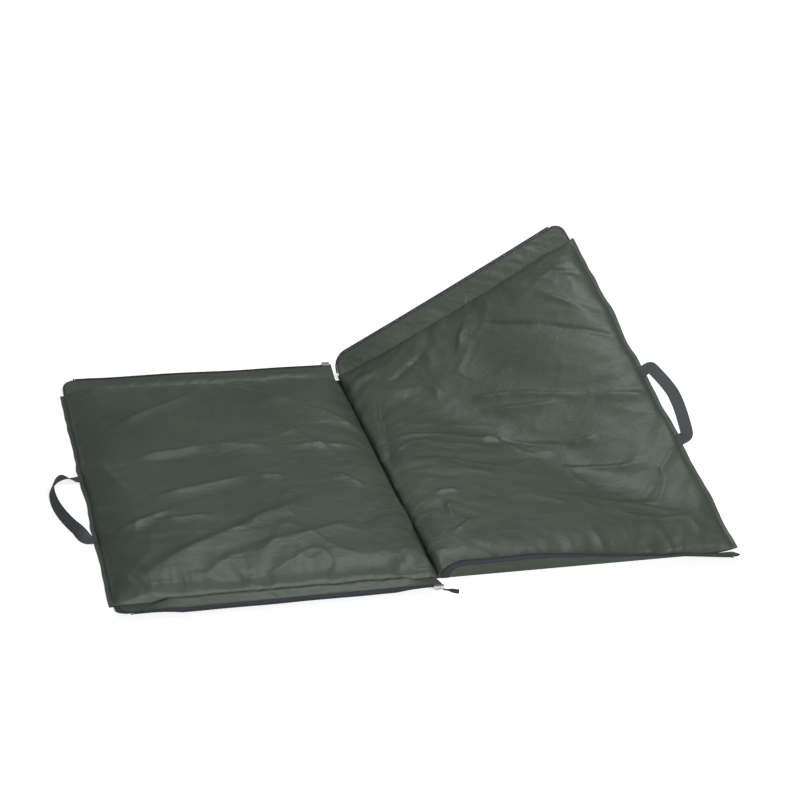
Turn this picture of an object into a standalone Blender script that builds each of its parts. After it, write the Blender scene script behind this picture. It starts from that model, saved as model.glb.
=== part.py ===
# Fold-over unhooking mat: two padded panels sewn together at a spine, with zip flaps on
# both long edges, a webbing handle at each end and two roll straps underneath.
# Metres, +Z up. X runs from the left panel to the right panel, Y from front to back,
# and the origin is the middle of the spine on the ground. The rear corner of the right
# panel is turned up, as it lies in use before it is smoothed out.

import math

import bmesh
import bpy
from mathutils import Matrix, Vector
from mathutils.geometry import interpolate_bezier

# Panels
panel_length = 0.600            # spine to handle end
panel_depth = 0.800             # along the spine
spine_gap = 0.006               # between the two panels' sewn edges
seam_rim = 0.009                # flat sewn edge at the spine and the handle end
pad_height = 0.040              # top of the cover above the ground
dome_share = 0.10               # part of the height that swells to the middle
end_round = 0.070               # how far the pad takes to rise from the handle end
side_round = 0.060              # and from the front and rear edges
spine_round = 0.050             # and from the spine
pad_fullness_share = 1.8        # exponent of the rounded edge
edge_shares = (0.30, 0.65, 1.0)  # where the rounded edge has its grid lines
middle_shares = (0.2, 0.4, 0.6, 0.8)
foam_inset = 0.006              # foam edge inside the sewn rim

# Cloth and sewing
cover_cloth = 0.0010
base_cloth = 0.0012
fit = 0.0003                    # clearance between touching pieces
ramp = 0.0020                   # slope where the base steps over something

# Spine binding, which lies under both panels' edges
binding_width = 0.022
binding_thick = 0.0010

# Roll straps, laid in channels under the left panel
strap_width = 0.025
strap_thick = 0.0012
strap_length = 0.680
strap_place_shares = (0.36, 0.76)   # of the panel, from the handle end
patch_length = 0.080
patch_thick = 0.0010
channel_play = 0.0010

# Raised rear corner of the right panel
corner_lift = math.radians(47.8)    # slope of the line from crease to corner
corner_sag = 0.004                  # how far the cloth sags under that line
crease_gap = 0.0012

# Fold of the right panel over the left one
fold_height = 0.054

# Zip flaps
flap_width = 0.050              # from the panel's edge to the outer side of the coil
flap_cloth = 0.0008
flap_hinge_gap = 0.0007         # from the panel's rim to the line a left flap turns on
flap_fixed_gap = 0.0009         # and to the root line of a right flap
flap_root_start = -0.0002
flap_root_height = 0.0015
flap_end_inset = 0.004
flap_round_start = 0.042
flap_round_end = 0.028
left_flap_lean = math.radians(72.0)
right_front_lean = math.radians(20.0)
right_front_end_lean = math.radians(66.0)
right_front_twist_start_share = 0.30
right_back_lean = math.radians(68.0)
flap_lines = 11
arc_lines = 5
middle_line_share = 0.5

# Zips
tape_width = 0.0150
tape_lap = 0.0110
tape_thick = 0.0008
coil_width = 0.0035
coil_thick = 0.0022
stop_length = 0.0030
stop_wall = 0.0008

# Zip sliders
slider_length = 0.0160
slider_width = 0.0114
slider_half_height = 0.0024
slider_plate = 0.0008
slider_lip = 0.0008
slider_post = 0.0010
slider_slit = 0.0014
bail_length = 0.0100
bail_width = 0.0022
bail_wall = 0.0010
bail_height = 0.0036
link_length = 0.0140
link_width = 0.0114
link_bar = 0.0013
link_thick = 0.0010
tab_length = 0.0300
tab_width = 0.0078
tab_wall = 0.0006
tab_slit = 0.0003
tab_neck = 0.0030
puller_droop = math.radians(13.0)

# Webbing handles, each path given as shares of the span and of the reach
handle_width = 0.025
handle_thick = 0.0016
handle_end_thick_share = 0.5
handle_seat = 0.005             # how far the ends lie on the panel's rim
handle_floor_gap = 0.0008
handle_lines = 25
handle_curve_lines = 12
left_handle_span = 0.224
left_handle_reach = 0.059
left_handle_middle = -0.066     # behind the middle of the mat is positive
left_handle_stand = math.radians(70.0)
left_handle_twist_share = 0.27
left_handle_path_shares = ((0, 0), (0, 0.12), (0.05, 0.32), (0.20, 0.60), (0.42, 0.87),
                           (0.64, 1.0), (0.84, 0.95), (0.97, 0.66), (1, 0.25), (1, 0))
right_handle_span = 0.175
right_handle_reach = 0.031
right_handle_middle = -0.048
right_handle_stand = math.radians(14.0)
right_handle_twist_share = 0.20
right_handle_path_shares = ((0, 0), (0, 0.42), (0.04, 0.58), (0.16, 0.74), (0.36, 0.93),
                            (0.55, 1.0), (0.70, 0.90), (0.85, 0.72), (0.96, 0.56),
                            (1, 0.42), (1, 0))

# Colours
olive = (0.069, 0.083, 0.066)
olive_light = (0.100, 0.118, 0.098)
olive_base = (0.055, 0.066, 0.054)
webbing_grey = (0.055, 0.062, 0.065)
zip_navy = (0.035, 0.040, 0.048)
foam_grey = (0.36, 0.36, 0.34)
metal_grey = (0.62, 0.62, 0.61)
black = (0.012, 0.012, 0.013)

# Worked out from the sizes above
half_depth = panel_depth / 2
spine_edge = spine_gap / 2
binding_step = binding_width / 2 + fit
spine_lift = binding_thick + fit
channel_height = strap_thick + fit + patch_thick + fit
crease_start = Vector((spine_edge, half_depth, 0))
crease_end = Vector((panel_length, -half_depth, 0))
diagonal = (crease_end - crease_start).normalized()
away = Vector((-diagonal.y, diagonal.x, 0))
corner_depth = away.dot(Vector((panel_length, half_depth, 0)) - crease_start)
bend_radius = corner_depth ** 2 / (8 * corner_sag)
start_slope = corner_lift - corner_depth / (2 * bend_radius)
row_scale = panel_depth / (panel_length - spine_edge)
side_rim = seam_rim * row_scale
coil_inner = flap_width - coil_width
tape_outer = coil_inner - fit
tape_inner = tape_outer - tape_width
cloth_outer = tape_inner + tape_lap
tape_offset = flap_cloth / 2 + fit + tape_thick / 2
slider_middle = flap_width + fit + slider_post / 2
slider_rest = spine_edge + stop_length + 2 * fit + slider_length / 2
bail_rise = slider_half_height + fit
hook_height = bail_rise + (bail_height - bail_wall) / 2
bar_level = hook_height - bail_rise
tab_eye = link_bar / 2 + fit
handle_seat_height = base_cloth + fit + cover_cloth + 2 * fit

places = {}


def material(name, colour, roughness, metallic=0.0):
    made = bpy.data.materials.new(name)
    made.use_nodes = True
    shader = made.node_tree.nodes["Principled BSDF"]
    shader.inputs["Base Color"].default_value = (*colour, 1)
    shader.inputs["Roughness"].default_value = roughness
    shader.inputs["Metallic"].default_value = metallic
    made.diffuse_color = (*colour, 1)
    return made


def carrier(name, place, parent=None):
    # An empty on a joint's axis carries everything that moves with it
    empty = bpy.data.objects.new(name, None)
    bpy.context.scene.collection.objects.link(empty)
    places[name] = Vector(place)
    empty.parent = parent
    empty.location = places[name] - (places[parent.name] if parent else Vector())
    return empty


def add_piece(name, bm, finish, parent, smooth=True):
    # Each mesh is written about its carrier, so its origin lies on the joint's axis
    bmesh.ops.recalc_face_normals(bm, faces=bm.faces)
    if bm.calc_volume(signed=True) < 0:
        bmesh.ops.reverse_faces(bm, faces=bm.faces)
    bmesh.ops.translate(bm, verts=bm.verts, vec=-places[parent.name])
    mesh = bpy.data.meshes.new(name)
    bm.to_mesh(mesh)
    bm.free()
    mesh.materials.append(finish)
    if smooth:
        mesh.shade_smooth()
        mesh.set_sharp_from_angle(angle=math.radians(35))
    piece = bpy.data.objects.new(name, mesh)
    piece.parent = parent
    bpy.context.scene.collection.objects.link(piece)
    return piece


def warp(bm, move):
    for vert in bm.verts:
        vert.co = move(vert.co)


def layered_sheet(columns, rows, place, part=None):
    # A triangulated grid is given thickness, and place(x, y, layer) sets each corner.
    # Part keeps one side of the grid's falling diagonal.
    bm = bmesh.new()
    bmesh.ops.create_grid(bm, x_segments=len(columns) - 1, y_segments=len(rows) - 1, size=1)
    bmesh.ops.triangulate(bm, faces=bm.faces, quad_method="ALTERNATE")
    if part:
        side = 1 if part == "corner" else -1
        other = []
        for face in bm.faces:
            middle = face.calc_center_median()
            if (middle.x + middle.y) * side < 0:
                other.append(face)
        bmesh.ops.delete(bm, geom=other, context="FACES")
    for vert in bm.verts:
        column = round((vert.co.x + 1) / 2 * (len(columns) - 1))
        row = round((vert.co.y + 1) / 2 * (len(rows) - 1))
        vert.co = (columns[column], rows[row], 0)
    grown = bmesh.ops.extrude_face_region(bm, geom=bm.faces)["geom"]
    upper = {item for item in grown if isinstance(item, bmesh.types.BMVert)}
    for vert in bm.verts:
        vert.co = place(vert.co.x, vert.co.y, 1 if vert in upper else 0)
    return bm


def drawn_out(bm, corners, step):
    # A flat outline becomes a solid by moving a copy of it along step
    face = bm.faces.new([bm.verts.new(corner) for corner in corners])
    grown = bmesh.ops.extrude_face_region(bm, geom=[face])["geom"]
    moved = [item for item in grown if isinstance(item, bmesh.types.BMVert)]
    bmesh.ops.translate(bm, verts=moved, vec=step)
    bmesh.ops.triangulate(bm, faces=bm.faces, ngon_method="EAR_CLIP")


# The raised corner

def bend(point):
    # Past the crease the flat panel follows a shallow arc whose chord has the corner's slope
    distance = away.dot(point - crease_start)
    along = point - away * (distance + away.dot(crease_start))
    base = away * away.dot(crease_start)
    slope = start_slope + distance / bend_radius
    reach = bend_radius * (math.sin(slope) - math.sin(start_slope)) - point.z * math.sin(slope)
    rise = bend_radius * (math.cos(start_slope) - math.cos(slope)) + point.z * math.cos(slope)
    return Vector((along.x, along.y, 0)) + base + away * reach + Vector((0, 0, rise))


def shape_to_crease(bm, part):
    # Points on the diagonal step back from it along the plane that halves the bend
    side = 1 if part == "corner" else -1
    for vert in bm.verts:
        if abs(away.dot(vert.co - crease_start)) < fit:
            step = vert.co.z * math.tan(start_slope / 2) + crease_gap / 2
            vert.co += away * (side * step)
    if part == "corner":
        warp(bm, bend)
    return bm


# Padded panels

def edge_rise(distance, radius):
    share = min(max(distance / radius, 0), 1)
    return (1 - (1 - share) ** pad_fullness_share) ** (1 / pad_fullness_share)


def rim_level(span):
    near_spine = span < binding_step + 2 * ramp
    return base_cloth + fit + (spine_lift if near_spine else 0)


def cover_underside(span, y):
    low = rim_level(span)
    rise = edge_rise(span - spine_edge - seam_rim, spine_round)
    rise *= edge_rise(panel_length - seam_rim - span, end_round)
    rise *= edge_rise(half_depth - side_rim - abs(y), side_round)
    across = (span - spine_edge) / (panel_length - spine_edge)
    swell = math.sin(math.pi * across) * math.cos(math.pi * y / panel_depth)
    full = pad_height - cover_cloth - low
    return low + full * rise * (1 - dome_share + dome_share * swell)


def panel_columns():
    inner = spine_edge + seam_rim
    outer = panel_length - seam_rim
    middle = outer - end_round - (inner + spine_round)
    lines = [spine_edge, inner, inner + foam_inset]
    lines += [inner + spine_round * share for share in edge_shares]
    lines += [inner + spine_round + middle * share for share in middle_shares]
    lines += [outer - end_round * share for share in reversed(edge_shares)]
    return lines + [outer - foam_inset, outer, panel_length]


def matching_rows(columns):
    # Rows follow the columns so that the crease passes through the grid's corners
    return [half_depth - (x - spine_edge) * row_scale for x in reversed(columns)]


def top_cover(side, part=None):
    def place(x, y, layer):
        return Vector((side * x, y, cover_underside(x, y) + cover_cloth * layer))
    columns = panel_columns()
    bm = layered_sheet(columns, matching_rows(columns), place, part)
    return shape_to_crease(bm, part) if part else bm


def foam(side, bottom, part=None):
    def place(x, y, layer):
        top = cover_underside(x, y) - fit
        return Vector((side * x, y, top if layer else bottom))
    columns = panel_columns()[2:-2]
    bm = layered_sheet(columns, matching_rows(columns), place, part)
    return shape_to_crease(bm, part) if part else bm


def plain_base(side, part):
    columns = [spine_edge, binding_step, binding_step + ramp] + panel_columns()[2:]

    def place(x, y, layer):
        under = spine_lift if x < binding_step + fit else 0
        return Vector((side * x, y, under + base_cloth * layer))
    bm = layered_sheet(columns, matching_rows(columns), place, part)
    return shape_to_crease(bm, part)


def strap_centres():
    return [panel_length * (1 - share) for share in strap_place_shares]


def channelled_base(side):
    # The left base steps up over the spine binding and over the two straps
    across = strap_width / 2 + channel_play
    end = strap_length / 2 + channel_play
    columns = [spine_edge, binding_step, binding_step + ramp, panel_length]
    for middle in strap_centres():
        columns += [middle - across - ramp, middle - across, middle + across,
                    middle + across + ramp]
    rows = [-half_depth, -end - ramp, -end, end, end + ramp, half_depth]

    def place(x, y, layer):
        over = any(abs(x - middle) < across + fit for middle in strap_centres())
        under = channel_height if over and abs(y) < end + fit else 0
        if x < binding_step + fit:
            under = spine_lift
        return Vector((side * x, y, under + base_cloth * layer))
    return layered_sheet(sorted(columns), rows, place)


def flat_block(low, high):
    def place(x, y, layer):
        return Vector((x, y, high[2] if layer else low[2]))
    return layered_sheet([low[0], high[0]], [low[1], high[1]], place)


# Zip flaps: x runs along the panel's edge, w from the edge to the zip, v out of the cloth

class Flap:
    def __init__(self, name, sides, lean, rounded, parent, bent=False):
        self.name = name
        self.x_side, self.y_side = sides
        self.lean = lean
        self.rounded = rounded
        self.parent = parent
        self.bent = bent
        self.gap = flap_fixed_gap if rounded else flap_hinge_gap
        self.start = spine_edge + (fit if rounded else 0)
        self.end = panel_length - flap_end_inset
        self.last = self.end - flap_round_end

    def point(self, x, w, v):
        lean = self.lean(x)
        out = self.gap + w * math.sin(lean) + v * math.cos(lean)
        height = flap_root_height + w * math.cos(lean) - v * math.sin(lean)
        flat = Vector((self.x_side * x, self.y_side * (half_depth + out), height))
        return bend(flat) if self.bent else flat

    def at_tape(self, local):
        return self.point(local.x, local.y, tape_offset + local.z)

    def outline(self, inset, first=None, last=None, to_root=True):
        # Points along the free edge, set in from it, with its rounded ends if it has them
        points = []
        begin = self.start if first is None else first
        if self.rounded:
            begin = self.start + flap_round_start
            radius = flap_round_start - inset
            if to_root:
                points.append((self.start + inset, flap_root_start))
            for step in range(arc_lines):
                angle = math.pi - math.pi / 2 * step / arc_lines
                points.append((begin + radius * math.cos(angle),
                               flap_width - flap_round_start + radius * math.sin(angle)))
        end = self.last if last is None else last
        for step in range(flap_lines):
            share = step / (flap_lines - 1)
            points.append((begin + (end - begin) * share, flap_width - inset))
        if last is None:
            radius = flap_round_end - inset
            for step in range(arc_lines):
                angle = math.pi / 2 - math.pi / 2 * (step + 1) / arc_lines
                points.append((end + radius * math.cos(angle),
                               flap_width - flap_round_end + radius * math.sin(angle)))
            if to_root:
                points.append((end + radius, flap_root_start))
        return points

    def band(self, outer, deep, low, high, rows=(0, 1)):
        def place(column, row, layer):
            x = deep[column][0] + (outer[column][0] - deep[column][0]) * row
            w = deep[column][1] + (outer[column][1] - deep[column][1]) * row
            return self.point(x, w, high if layer else low)
        return layered_sheet_by_index(len(outer), rows, place)

    def gusset(self):
        outer = self.outline(flap_width - cloth_outer, to_root=False)
        deep = [(x, flap_root_start) for x, w in outer]
        half = flap_cloth / 2
        lap = (tape_inner - flap_root_start) / (cloth_outer - flap_root_start)
        return self.band(outer, deep, -half, half, rows=(0, lap * middle_line_share, lap, 1))

    def tape(self):
        outer = self.outline(flap_width - tape_outer)
        deep = self.outline(flap_width - tape_inner)
        half = tape_thick / 2
        return self.band(outer, deep, tape_offset - half, tape_offset + half,
                         rows=(0, tape_lap / tape_width, 1))

    def coil(self):
        last = self.last - stop_length - fit
        first = self.start + stop_length + fit
        outer = self.outline(0, first, last, to_root=False)
        deep = self.outline(coil_width, first, last, to_root=False)
        return self.band(outer, deep, tape_offset - coil_thick / 2, tape_offset + coil_thick / 2)

    def stop(self, start):
        # A metal clip crimped over the edge of the tape
        outer = coil_thick / 2 + stop_wall
        slit = tape_thick / 2 + fit
        inner = tape_outer - coil_width / 2
        outline = [(inner, -outer), (flap_width, -outer), (flap_width, outer), (inner, outer),
                   (inner, slit), (tape_outer + fit, slit), (tape_outer + fit, -slit),
                   (inner, -slit)]
        return self.drawn(outline, start, start + stop_length)

    def drawn(self, outline, start, end):
        # An outline in (w, v) about the tape's middle, drawn out along x
        bm = bmesh.new()
        drawn_out(bm, [(start, w, v) for w, v in outline], (end - start, 0, 0))
        warp(bm, self.at_tape)
        return bm

    def add(self, finishes):
        add_piece(self.name + "_gusset", self.gusset(), finishes["gusset"], self.parent)
        add_piece(self.name + "_zip_tape", self.tape(), finishes["tape"], self.parent)
        add_piece(self.name + "_zip_coil", self.coil(), finishes["coil"], self.parent)
        add_piece(self.name + "_top_stop", self.stop(self.last - stop_length),
                  finishes["metal"], self.parent, smooth=False)


def layered_sheet_by_index(count, rows, place):
    columns = list(range(count))
    return layered_sheet(columns, rows, lambda x, y, layer: place(round(x), y, layer))


# A zip slider, its bail and its puller, laid out on a flap

def slider_body(flap):
    half = slider_width / 2
    top = slider_half_height
    inside = top - slider_plate
    slit = slider_slit / 2
    post = slider_post / 2
    lip = half - slider_lip
    right = [(half, top), (half, slit), (lip, slit), (lip, inside), (post, inside),
             (post, -inside), (lip, -inside), (lip, -slit), (half, -slit), (half, -top)]
    left = [(-w, v) for w, v in reversed(right)]
    outline = [(slider_middle + w, v) for w, v in right + left]
    return flap.drawn(outline, slider_rest - slider_length / 2, slider_rest + slider_length / 2)


def seat_on_plate(bm, flap):
    # Local +X points at the spine, and local Z leaves the slider's outer plate
    warp(bm, lambda co: flap.at_tape(Vector((slider_rest - co.x, slider_middle + co.y,
                                             bail_rise + co.z))))
    return bm


def across_solid(outline, width):
    bm = bmesh.new()
    drawn_out(bm, [(x, -width / 2, v) for x, v in outline], (0, width, 0))
    return bm


def bail(flap):
    # It stands on the outer plate like a staple
    half = bail_length / 2
    inside = half - bail_wall
    under = bail_height - bail_wall
    outline = [(-half, 0), (-half, bail_height), (half, bail_height), (half, 0), (inside, 0),
               (inside, under), (-inside, under), (-inside, 0)]
    return seat_on_plate(across_solid(outline, bail_width), flap)


def drooped(bm, way):
    # A way of 1 points the puller at the spine and -1 away from it
    pivot = Vector((0, 0, bar_level))
    turn = Matrix.Rotation(-puller_droop, 3, "Y")
    side = Matrix.Diagonal((way, 1, 1))
    warp(bm, lambda co: side @ (turn @ (co - pivot) + pivot))
    return bm


def puller_link(flap, way):
    # A flat ring whose near bar lies inside the bail
    bm = bmesh.new()
    edges = []
    for inset in (0, link_bar):
        near = -link_bar / 2 + inset
        far = link_length - link_bar / 2 - inset
        half = link_width / 2 - inset
        corners = ((near, -half), (far, -half), (far, half), (near, half))
        ring = [bm.verts.new((x, y, bar_level - link_thick / 2)) for x, y in corners]
        edges += [bm.edges.new((ring[i - 1], ring[i])) for i in range(len(ring))]
    bmesh.ops.bridge_loops(bm, edges=edges)
    grown = bmesh.ops.extrude_face_region(bm, geom=bm.faces)["geom"]
    moved = [item for item in grown if isinstance(item, bmesh.types.BMVert)]
    bmesh.ops.translate(bm, verts=moved, vec=(0, 0, link_thick))
    bmesh.ops.triangulate(bm, faces=bm.faces)
    return seat_on_plate(drooped(bm, way), flap)


def puller_tab(flap, way):
    # A tape doubled round the ring's far bar, its two layers lying together
    bar = link_length - link_bar
    end = bar - tab_eye - tab_wall + tab_length
    outer = tab_eye + tab_wall
    slit = tab_slit / 2
    edge = slit + tab_wall
    neck = bar + tab_eye + tab_neck
    top = [(end, edge), (neck, edge), (bar + tab_eye, outer), (bar - outer, outer)]
    inner = [(bar - tab_eye, tab_eye), (bar + tab_eye, tab_eye), (neck, slit), (end, slit)]
    outline = top + [(x, -v) for x, v in reversed(top)]
    outline += [(x, -v) for x, v in reversed(inner)] + inner
    outline = [(x, bar_level + v) for x, v in outline]
    return seat_on_plate(drooped(across_solid(outline, tab_width), way), flap)


# Webbing handles

def smooth_path(corners):
    # A curve through the corners, then evenly spaced along its length
    padded = [corners[0]] + corners + [corners[-1]]
    fine = []
    for before, start, end, after in zip(padded, padded[1:], padded[2:], padded[3:]):
        leave = start + (end - before) / 6
        arrive = end - (after - start) / 6
        fine += interpolate_bezier(start, leave, arrive, end, handle_curve_lines)[:-1]
    fine.append(corners[-1])
    fine = [Vector(point[:2]) for point in fine]
    lengths = [0]
    for one, two in zip(fine, fine[1:]):
        lengths.append(lengths[-1] + (two - one).length)
    path = []
    for line in range(handle_lines):
        wanted = lengths[-1] * line / (handle_lines - 1)
        index = max(i for i, length in enumerate(lengths[:-1]) if length <= wanted)
        span = max(lengths[index + 1] - lengths[index], fit * fit)
        share = min((wanted - lengths[index]) / span, 1)
        path.append(fine[index].lerp(fine[index + 1], share))
    return path


class Handle:
    def __init__(self, name, side, span, reach, middle, stand, twist_share, shares, bent):
        self.name = name
        self.side = side
        self.stand = stand
        self.twist_share = twist_share
        self.bent = bent
        self.ends = (middle - span / 2, middle + span / 2)
        corners = [Vector((-handle_seat, self.ends[0]))]
        corners += [Vector((reach * out, self.ends[0] + span * along))
                    for along, out in shares]
        corners.append(Vector((-handle_seat, self.ends[1])))
        self.path = smooth_path(corners)

    def place_point(self, out, y, z):
        flat = Vector((self.side * (panel_length + out), y, z))
        return bend(flat) if self.bent else flat

    def pivot_ends(self):
        return [self.place_point(-handle_seat, y, handle_seat_height) for y in self.ends]

    def solid(self):
        # The webbing lies flat where it is sewn and turns on edge along the loop
        count = len(self.path)

        def place(index, across, layer):
            before = self.path[max(index - 1, 0)]
            after = self.path[min(index + 1, count - 1)]
            ahead = (after - before).normalized()
            outward = Vector((-ahead.y, ahead.x)) * -1
            from_end = min(index, count - 1 - index) / (count - 1)
            turned = min(max(from_end / self.twist_share, 0), 1)
            turned = turned * turned * (3 - 2 * turned)
            stand = self.stand * turned
            thick = handle_thick * (handle_end_thick_share +
                                    (1 - handle_end_thick_share) * turned)
            half = handle_width / 2
            centre = max(handle_seat_height + thick / 2,
                         handle_floor_gap + half * math.sin(stand) + thick / 2 * math.cos(stand))
            width = (across * 2 - 1) * half
            depth = (layer * 2 - 1) * thick / 2
            spread = -width * math.cos(stand) + depth * math.sin(stand)
            flat = self.path[index] + outward * spread
            z = centre + width * math.sin(stand) + depth * math.cos(stand)
            return self.place_point(flat.x, flat.y, z)
        return layered_sheet_by_index(count, (0, middle_line_share, 1), place)


# The left panel and everything that moves with it

def lean_of_right_front(x):
    start = panel_length * right_front_twist_start_share
    end = panel_length - flap_end_inset - flap_round_end
    share = min(max((x - start) / (end - start), 0), 1)
    return right_front_lean + (right_front_end_lean - right_front_lean) * share


def add_slider(flap, side_name, way, finishes):
    # The slider rides on the left flap's coil and its puller hangs from the bail
    middle = flap.at_tape(Vector((slider_rest, slider_middle, 0)))
    pivot = flap.at_tape(Vector((slider_rest, slider_middle, hook_height)))
    slider = carrier(side_name + "_slider", middle, flap.parent)
    puller = carrier(side_name + "_puller", pivot, slider)
    add_piece(side_name + "_slider_body", slider_body(flap), finishes["metal"], slider, False)
    add_piece(side_name + "_slider_bail", bail(flap), finishes["metal"], slider, False)
    add_piece(side_name + "_puller_link", puller_link(flap, way), finishes["metal"], puller,
              False)
    add_piece(side_name + "_puller_tape", puller_tab(flap, way), finishes["puller"], puller,
              False)


def add_straps(parent, finishes):
    sewn_ends = (-strap_length / 2, strap_length / 2 - patch_length)
    for name, middle in zip(("outer", "inner"), strap_centres()):
        low_x = -middle - strap_width / 2
        high_x = -middle + strap_width / 2
        strap = flat_block((low_x, -strap_length / 2, 0), (high_x, strap_length / 2, strap_thick))
        add_piece(name + "_roll_strap", strap, finishes["webbing"], parent, False)
        low = strap_thick + fit
        for kind, start in zip(("hook", "loop"), sewn_ends):
            patch = flat_block((low_x, start, low),
                               (high_x, start + patch_length, low + patch_thick))
            add_piece(name + "_strap_" + kind + "_patch", patch, finishes["patch"], parent, False)


def build():
    for old in list(bpy.data.objects):
        bpy.data.objects.remove(old, do_unlink=True)
    finishes = {
        "cover": material("coated_nylon", olive, 0.45),
        "gusset": material("gusset_nylon", olive_light, 0.5),
        "base": material("base_nylon", olive_base, 0.6),
        "foam": material("foam", foam_grey, 0.9),
        "webbing": material("webbing", webbing_grey, 0.8),
        "tape": material("zip_tape", zip_navy, 0.85),
        "coil": material("zip_coil", zip_navy, 0.4),
        "metal": material("zip_metal", metal_grey, 0.3, 1.0),
        "puller": material("puller_tape", black, 0.7),
        "patch": material("hook_and_loop", black, 0.95),
    }
    left = carrier("left_panel", (0, 0, 0))
    right = carrier("right_panel", (0, 0, fold_height), left)
    corner = carrier("right_corner", (crease_start + crease_end) / 2, right)

    binding = flat_block((-binding_width / 2, -half_depth, 0),
                         (binding_width / 2, half_depth, binding_thick))
    add_piece("spine_binding", binding, finishes["webbing"], left, False)
    left_foam_bottom = channel_height + base_cloth + fit
    add_piece("left_top_cover", top_cover(-1), finishes["cover"], left)
    add_piece("left_foam", foam(-1, left_foam_bottom), finishes["foam"], left)
    add_piece("left_base_cover", channelled_base(-1), finishes["base"], left)
    for part, parent in (("flat", right), ("corner", corner)):
        add_piece("right_top_cover_" + part, top_cover(1, part), finishes["cover"], parent)
        add_piece("right_foam_" + part, foam(1, base_cloth + fit, part), finishes["foam"], parent)
        add_piece("right_base_cover_" + part, plain_base(1, part), finishes["base"], parent)
    add_straps(left, finishes)

    left_middle = (spine_edge + panel_length) / 2
    for side_name, y_side in (("front", -1), ("back", 1)):
        hinge = (-left_middle, y_side * (half_depth + flap_hinge_gap), flap_root_height)
        turning = carrier("left_" + side_name + "_flap", hinge, left)
        flap = Flap("left_" + side_name, (-1, y_side), lambda x: left_flap_lean, False, turning)
        flap.add(finishes)
        add_piece("left_" + side_name + "_bottom_stop", flap.stop(flap.start),
                  finishes["metal"], turning, False)
        add_slider(flap, side_name, -y_side, finishes)
    Flap("right_front", (1, -1), lean_of_right_front, True, right).add(finishes)
    Flap("right_back", (1, 1), lambda x: right_back_lean, True, corner, True).add(finishes)

    handles = (
        (Handle("left_handle", -1, left_handle_span, left_handle_reach, left_handle_middle,
                left_handle_stand, left_handle_twist_share, left_handle_path_shares, False), left),
        (Handle("right_handle", 1, right_handle_span, right_handle_reach, right_handle_middle,
                right_handle_stand, right_handle_twist_share, right_handle_path_shares, True),
         corner),
    )
    for handle, parent in handles:
        front, back = handle.pivot_ends()
        turning = carrier(handle.name + "_turn", (front + back) / 2, parent)
        add_piece(handle.name, handle.solid(), finishes["webbing"], turning)


build()
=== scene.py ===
import math

import bmesh
import bpy
import numpy
from mathutils import Matrix, Vector, noise


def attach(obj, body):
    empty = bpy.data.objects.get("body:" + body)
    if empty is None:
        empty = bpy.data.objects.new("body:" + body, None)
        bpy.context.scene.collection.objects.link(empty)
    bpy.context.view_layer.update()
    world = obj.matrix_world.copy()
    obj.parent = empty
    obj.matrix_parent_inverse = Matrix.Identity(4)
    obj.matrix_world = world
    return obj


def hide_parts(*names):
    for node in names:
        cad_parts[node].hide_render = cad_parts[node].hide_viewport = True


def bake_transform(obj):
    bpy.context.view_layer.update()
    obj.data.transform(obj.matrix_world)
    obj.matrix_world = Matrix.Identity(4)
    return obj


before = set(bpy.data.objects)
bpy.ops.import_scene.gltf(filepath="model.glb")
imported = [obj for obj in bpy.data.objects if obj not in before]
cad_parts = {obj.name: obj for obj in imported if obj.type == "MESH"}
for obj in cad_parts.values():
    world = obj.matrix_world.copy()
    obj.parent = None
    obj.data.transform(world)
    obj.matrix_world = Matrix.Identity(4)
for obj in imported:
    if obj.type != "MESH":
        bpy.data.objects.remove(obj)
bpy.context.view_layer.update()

up = Vector((0, 0, 1))

# One panel in metres: the solids' outline, with flat rims and rounded edges of its own
mat = {
    "length": 0.600, "halfDepth": 0.400, "spineEdge": 0.003, "spineRim": 0.0008,
    "rim": 0.0090, "sideRim": 0.0040,
    "padTop": 0.0395, "spineRound": 0.062, "endRound": 0.072, "sideRound": 0.066,
    "fullness": 2.0, "dome": 0.10, "coverCloth": 0.0010, "baseCloth": 0.0012,
    "bindingStep": 0.0113, "bindingLift": 0.0013, "play": 0.0003,
}
corner = {"lift": math.radians(47.8), "sag": 0.004, "ease": 0.065, "step": 0.001,
          "traced": 0.75}


def clamped(value, low=0, high=1):
    return min(max(value, low), high)


def eased(share):
    return share * share * (3 - 2 * share)


# Shader values that add up like numbers

class Paint:
    def __init__(self, tree, socket):
        self.tree = tree
        self.socket = socket

    def make(self, kind, settings=None, links=None, output=0):
        node = self.tree.nodes.new(kind)
        for key, value in (settings or {}).items():
            if key == "stops":
                fillRamp(node.color_ramp, value)
            else:
                setattr(node, key, value)
        for key, value in (links or {}).items():
            if isinstance(value, Paint):
                self.tree.links.new(value.socket, node.inputs[key])
            else:
                node.inputs[key].default_value = value
        return Paint(self.tree, node.outputs[output])

    def sums(self, operation, *others):
        links = dict(enumerate((self,) + others))
        return self.make("ShaderNodeMath", {"operation": operation}, links)

    def __add__(self, other):
        return self.sums("ADD", other)

    __radd__ = __add__

    def __sub__(self, other):
        return self.sums("SUBTRACT", other)

    def __rsub__(self, other):
        return (self * -1) + other

    def __mul__(self, other):
        return self.sums("MULTIPLY", other)

    __rmul__ = __mul__

    def __pow__(self, other):
        return self.sums("POWER", other)

    def clamp(self, low=0.0, high=1.0):
        return self.sums("MAXIMUM", low).sums("MINIMUM", high)


def fillRamp(ramp, stops):
    while len(ramp.elements) < len(stops):
        ramp.elements.new(0.5)
    for element, (place, level) in zip(ramp.elements, stops):
        element.position = place
        element.color = (level, level, level, 1)


def newFinish(name, roughness, metallic=0.0):
    made = bpy.data.materials.new(name)
    made.use_nodes = True
    shader = made.node_tree.nodes["Principled BSDF"]
    shader.inputs["Roughness"].default_value = roughness
    shader.inputs["Metallic"].default_value = metallic
    return made, shader, Paint(made.node_tree, None)


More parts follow.
